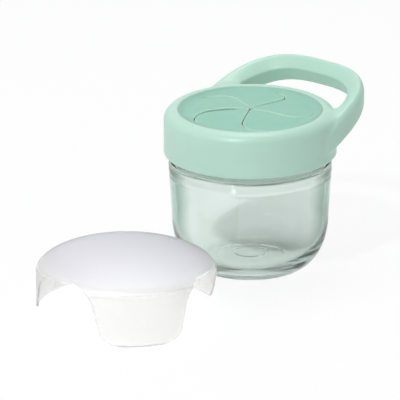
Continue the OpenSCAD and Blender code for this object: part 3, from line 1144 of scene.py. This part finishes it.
rim_profile = insert_profile()
rim_points = turned_profile(rim_profile, lambda angle, radius, z: 0)
rim_faces = grid_faces(len(rim_profile), COLUMNS, True, True)
insert_rim = add_piece("insert_rim", rim_points, [rim_faces], silicone)
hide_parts("flap_ring")
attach(insert_rim, "insert")

# %% [markdown]
# ## Five swirl flaps
# A die cuts five slits into the soft sheet. Each runs straight out from the middle and ends in a
# tight hook, which lets a flap fold down without tearing. One flap is the sheet between two slits.
# Its grid follows one slit curve as that turns round to the next one, so its edges are the slits
# themselves. The sheet is a shallow dome, every cut edge is rounded, and soft lips stand up a little.

# %% Flap sizes, millimetres
flap_count = 5
flap_step = 2 * np.pi / flap_count
slit_angle = math.radians(10)
slit_gap = 0.55
slit_run = 19.5
slit_turn = math.radians(110)
slit_end = 32.6
bend_turn = math.radians(40)     # how far round the next slit's hook the bend line ends
eye_r = 1.1
edge_round = 0.5
turn_k = 2 - 2 * math.cos(slit_turn)
slit_arc = (math.sqrt((slit_run * math.sin(slit_turn)) ** 2 + turn_k * (slit_end ** 2 - slit_run ** 2))
            - slit_run * math.sin(slit_turn)) / turn_k
lip_first = (0.35, 0.5, 0.3, 0.0, 0.1)       # how far each flap's first edge curls up
lip_last = (0.1, 0.2, 1.0, 0.1, 0.2)         # and its last edge
lip_reach = 1.8
# The next value sets how far the painted highlight along a cut reaches.
cut_highlight_reach = 0.5                             # how far the cut's pale colour reaches
print("radius of the slit's hook, mm:", round(slit_arc, 2))

# %% One slit


def slit_hook(turn):
    """Points of slit 0's hook after that much turn."""
    return np.stack([slit_run + slit_arc * np.sin(turn), slit_arc - slit_arc * np.cos(turn)], axis=-1)


def slit_curve():
    """Points and left-hand normals of slit 0: a straight run, a hook, then straight out."""
    run = np.linspace(eye_r, slit_run, 26)[:-1]
    straight = np.stack([run, 0 * run], axis=1)
    turn = np.linspace(0, slit_turn, 44)
    hook = slit_hook(turn)
    radial = hook[-1] / np.linalg.norm(hook[-1])
    out = hook[-1] + radial * np.linspace(0, sheet_out - slit_end, 5)[1:, None]
    left = np.concatenate([np.tile([0.0, 1.0], (len(run), 1)),
                           np.stack([-np.sin(turn), np.cos(turn)], axis=1),
                           np.tile([-np.sin(slit_turn), np.cos(slit_turn)], (len(out), 1))])
    fade = np.concatenate([np.ones(len(run) + len(turn)), np.zeros(len(out))])
    return np.concatenate([straight, hook, out]), left * fade[:, None]


def rotated(points, angle):
    """Turns plan points round the axis; angle broadcasts against the points."""
    cosine, sine = np.cos(angle), np.sin(angle)
    x, y = points[..., 0], points[..., 1]
    return np.stack([x * cosine - y * sine, x * sine + y * cosine], axis=-1)


slit_length = np.linalg.norm(np.diff(slit_curve()[0], axis=0), axis=1).sum()
print("length of a slit's line, mm:", round(slit_length, 1))

# %% The grid of one flap


def edge_distance(plan, path):
    """Distance of every grid point from a path of short straight pieces."""
    start = path[:-1]
    step = np.diff(path, axis=0)
    gap = plan[:, :, None, :] - start
    along = np.clip((gap * step).sum(-1) / (step * step).sum(-1), 0, 1)
    return np.linalg.norm(gap - along[..., None] * step, axis=-1).min(axis=-1)


def flap_grid(number):
    """Top and bottom of one flap, rows along the slit and columns from its slit to the next one."""
    curve, left = slit_curve()
    edge = np.array([0, 0.004, 0.009, 0.016, 0.025, 0.04, 0.06, 0.09, 0.13])
    across = np.concatenate([edge, np.linspace(0.18, 0.82, 19), 1 - edge[::-1]])
    offset = curve[:, None] + left[:, None] * (slit_gap / 2) * (1 - 2 * across)[None, :, None]
    plan = rotated(offset, flap_step * across[None, :])
    near_first = edge_distance(plan, curve + left * slit_gap / 2)
    near_last = edge_distance(plan, rotated(curve - left * slit_gap / 2, flap_step))
    radius = np.linalg.norm(plan, axis=-1)
    open_slit = 1 - smoothstep(slit_end - 0.6, slit_end + 0.2, radius)
    nearest = np.minimum(np.minimum(near_first, near_last), radius - eye_r + 0.02)
    inside = np.clip(edge_round - nearest, 0, edge_round)
    drop = (edge_round - np.sqrt(edge_round ** 2 - inside ** 2)) * open_slit
    swell = smoothstep(eye_r, 0.6 * slit_run, radius) * (1 - smoothstep(slit_run, slit_end, radius))
    curl = (lip_first[number] * np.exp(-(near_first / lip_reach) ** 2)
            + lip_last[number] * np.exp(-(near_last / lip_reach) ** 2)) * swell
    middle = sheet_height(radius) - sheet_t / 2 + curl
    half = sheet_t / 2 - drop
    plan = rotated(plan, slit_angle + number * flap_step)
    top = np.concatenate([plan, (middle + half)[..., None]], axis=-1)
    bottom = np.concatenate([plan, (middle - half)[..., None]], axis=-1)
    # Painted highlight along the cut edges, fading away from the slits.
    cut_highlight_share = np.exp(-(np.minimum(near_first, near_last) / cut_highlight_reach) ** 2) * open_slit
    return top, bottom, cut_highlight_share


def grid_normals(points, flip):
    """Normals of one side of the sheet from its own grid, so that two flaps meet without a line."""
    along, across = np.gradient(points, axis=0), np.gradient(points, axis=1)
    normal = np.cross(along, across) * flip
    return normal / np.maximum(np.linalg.norm(normal, axis=-1, keepdims=True), 1e-9)


print("a flap's grid:", flap_grid(0)[0].shape)

# %% Where a flap bends


def bend_line(number):
    """Ends of the line that the flap bends about, and the direction from it into the flap."""
    place = slit_angle + number * flap_step
    first = rotated(slit_hook(slit_turn), place)
    last = rotated(slit_hook(bend_turn), place + flap_step)
    along = (last - first) / np.linalg.norm(last - first)
    return first, last, np.array([-along[1], along[0]])


print("length of a flap's bend, mm:", round(math.dist(*bend_line(0)[:2]), 1))

# %% Five flaps


def add_flap(number):
    """Wraps a flap's top and bottom into one closed sheet in place of the CAD flap; its bend line is worked
    out but not used.
    """
    top, bottom, cut_highlight_share = flap_grid(number)
    rows, columns = top.shape[:2]
    points = np.concatenate([top, bottom[:, ::-1]], axis=1).reshape(-1, 3)
    normals = np.concatenate([grid_normals(top, 1), grid_normals(bottom, -1)[:, ::-1]], axis=1)
    cut_highlight_share = np.concatenate([cut_highlight_share, cut_highlight_share[:, ::-1]], axis=1).ravel()
    faces = [grid_faces(rows, 2 * columns, False, True)]
    column = np.arange(columns - 1)
    cap = np.stack([column, column + 1, 2 * columns - 2 - column, 2 * columns - 1 - column], axis=1)
    faces += [cap, (cap + (rows - 1) * 2 * columns)[:, ::-1]]
    piece = add_piece(f"flap_sheet_{number + 1}", points, faces, silicone, normals.reshape(-1, 3), cut_highlight_share)
    first, last, inward = bend_line(number)
    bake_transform(piece)
    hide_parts(f"flap_{number + 1}")


for flap_number in range(flap_count):
    add_flap(flap_number)

# %% [markdown]
# ## The travel cover
# The cover is one thin frosted moulding: a drum with a domed top, cut away below into a front tab,
# two arches that let the loop's roots through, and a skirt at the back. Its grid lines run from
# the top of the dome down to the cut edge, and the edge is rolled over into the inner side, so the
# hem is round and the wall is one closed shell.

# %% Travel cover sizes, millimetres
cover_high = span("travel_cover")[1]
cover_at = np.array([2.8, -101.8])
cover_turn = math.radians(-129.4)
cover_wall = 1.1
cover_r = collar_r + 0.3 + cover_wall
skirt_h = 25.2
dome_rise = cover_high[2] - skirt_h
skirt_lift = 5.0
tab_half = math.radians(26)
tab_lean = math.radians(12)
arch_span = math.radians(73)
arch_h = 30.2
arch_fall = 2.0
skirt_lean = math.radians(31)
arch_round = 12.0
tab_round = 10.0
skirt_round = 5.0
fan_start = 31.5         # height of the ring from which the grid lines fan out to the hem
bead_z = 6.3
bead = 0.35
HEM_COLUMNS = 440
FAN_ROWS = 46
DOME_ROWS = 26
ROLL_ROWS = 7
FAN_EVEN = 0.35          # how far the fan's lines are pulled to an even spacing at the dome
print("travel cover radius, mm:", round(cover_r, 2))

# %% The cover's cut edge


def arch_edge():
    """One arch seen from outside, from the tab's lower edge over the top to the skirt's."""
    foot = cover_r * math.sin(arch_span / 2)
    side_h = arch_h - arch_fall
    return rounded_path([
        (-foot - 9, 0, 0), (-foot, 0, tab_round),
        (-foot + arch_h * math.tan(tab_lean), arch_h, arch_round),
        (foot - (side_h - skirt_lift) * math.tan(skirt_lean), side_h, arch_round),
        (foot, skirt_lift, skirt_round), (foot + 5, skirt_lift, 0)], step=0.5)


def hem_curve():
    """The cover's cut edge as angle from the tab's middle and height, once round, evenly spaced."""
    edge = arch_edge()
    angle = tab_half + arch_span / 2 + np.arcsin(np.clip(edge[:, 0] / cover_r, -1, 1))
    half = np.stack([angle, edge[:, 1]], axis=1)
    half = np.concatenate([[[0, 0]], half, [[np.pi, skirt_lift]]])
    lengths = np.hypot(np.diff(half[:, 0]) * cover_r, np.diff(half[:, 1]))
    along = np.concatenate([[0], np.cumsum(lengths)])
    even = np.linspace(0, along[-1], HEM_COLUMNS // 2 + 1)
    half = np.stack([np.interp(even, along, half[:, k]) for k in range(2)], axis=1)
    return np.concatenate([half[:-1], (half[1:] * [-1, 1])[::-1]])


print("the arches reach up to, mm:", round(hem_curve()[:, 1].max(), 1))

# %% The cover's shell


def cover_point(angle, climb, depth):
    """A point of the shell. climb is the height on the wall, and on the dome the height that the
    dome's slope angle gives, so that it keeps growing to the top. depth goes into the wall."""
    lift = np.clip((climb - skirt_h) / dome_rise, 0, np.pi / 2)
    steep = np.stack([np.cos(lift) / cover_r, np.sin(lift) / dome_rise])
    steep = steep / np.linalg.norm(steep, axis=0)
    grip = bead * np.clip(1 - np.abs(climb - bead_z) / (2 * bead), 0, 1) * (depth > 0.7 * cover_wall)
    radius = cover_r * np.cos(lift) - steep[0] * depth - grip
    z = np.minimum(climb, skirt_h) + dome_rise * np.sin(lift) - steep[1] * depth
    turn = angle + np.pi / 2 + cover_turn
    return np.stack([cover_at[0] + radius * np.cos(turn), cover_at[1] + radius * np.sin(turn), z], axis=-1)


def climb_at(z):
    """The climb of a point at that height."""
    above = np.clip((z - skirt_h) / dome_rise, 0, 1)
    return np.where(z > skirt_h, skirt_h + dome_rise * np.arcsin(above), z)


def cover_grid():
    """Rows from the top of the dome to the hem outside, round the hem, and back up inside."""
    hem = hem_curve()
    angle, climb = hem[:, 0], climb_at(hem[:, 1])
    around = np.unwrap(angle)
    even = around[0] + 2 * np.pi * np.arange(HEM_COLUMNS) / HEM_COLUMNS
    fan_angle = FAN_EVEN * even + (1 - FAN_EVEN) * around
    step = np.roll(np.stack([around * cover_r, climb]), -1, axis=1) - np.roll(
        np.stack([around * cover_r, climb]), 1, axis=1)
    step[0] = (step[0] + np.pi * cover_r) % (2 * np.pi * cover_r) - np.pi * cover_r
    step /= np.linalg.norm(step, axis=0)
    out = np.stack([step[1], -step[0]])
    roll = cover_wall / 2
    share = np.linspace(0, 1, FAN_ROWS)[:, None]
    fan_top = float(climb_at(np.array(fan_start)))
    inset_angle = around - out[0] * roll / cover_r
    inset_climb = climb - out[1] * roll
    bend = share * share * (3 - 2 * share)
    fan = (fan_angle + (inset_angle - fan_angle) * bend, fan_top + (inset_climb - fan_top) * share)
    apex = skirt_h + dome_rise * np.pi / 2
    rise = np.linspace(apex, fan_top, DOME_ROWS)[1:-1, None]
    dome = (fan_angle + 0 * rise, rise + 0 * fan_angle)
    roll_turn = np.linspace(0, np.pi, ROLL_ROWS)[1:-1, None]
    push = roll * np.sin(roll_turn)
    edge = (inset_angle + out[0] * push / cover_r, inset_climb + out[1] * push)
    depth = roll * (1 - np.cos(roll_turn)) + 0 * inset_angle
    outer = [cover_point(*dome, 0), cover_point(*fan, 0)]
    inner = [cover_point(fan[0][::-1], fan[1][::-1], cover_wall),
             cover_point(dome[0][::-1], dome[1][::-1], cover_wall)]
    return np.concatenate([*outer, cover_point(*edge, depth), *inner])


print("the cover's grid:", cover_grid().shape)

# %% Travel cover


def add_cover():
    """Closes the grid at the top of the dome, outside and inside."""
    grid = cover_grid()
    poles = [[*cover_at, skirt_h + dome_rise], [*cover_at, skirt_h + dome_rise - cover_wall]]
    points, faces = with_poles(len(grid), HEM_COLUMNS, grid.reshape(-1, 3), *poles)
    piece = add_piece("travel_cover_shell", points, faces, frosted)
    piece.visible_shadow = False    # lamps shine through it, as through the cup
    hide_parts("travel_cover")
    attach(piece, "cover")


add_cover()
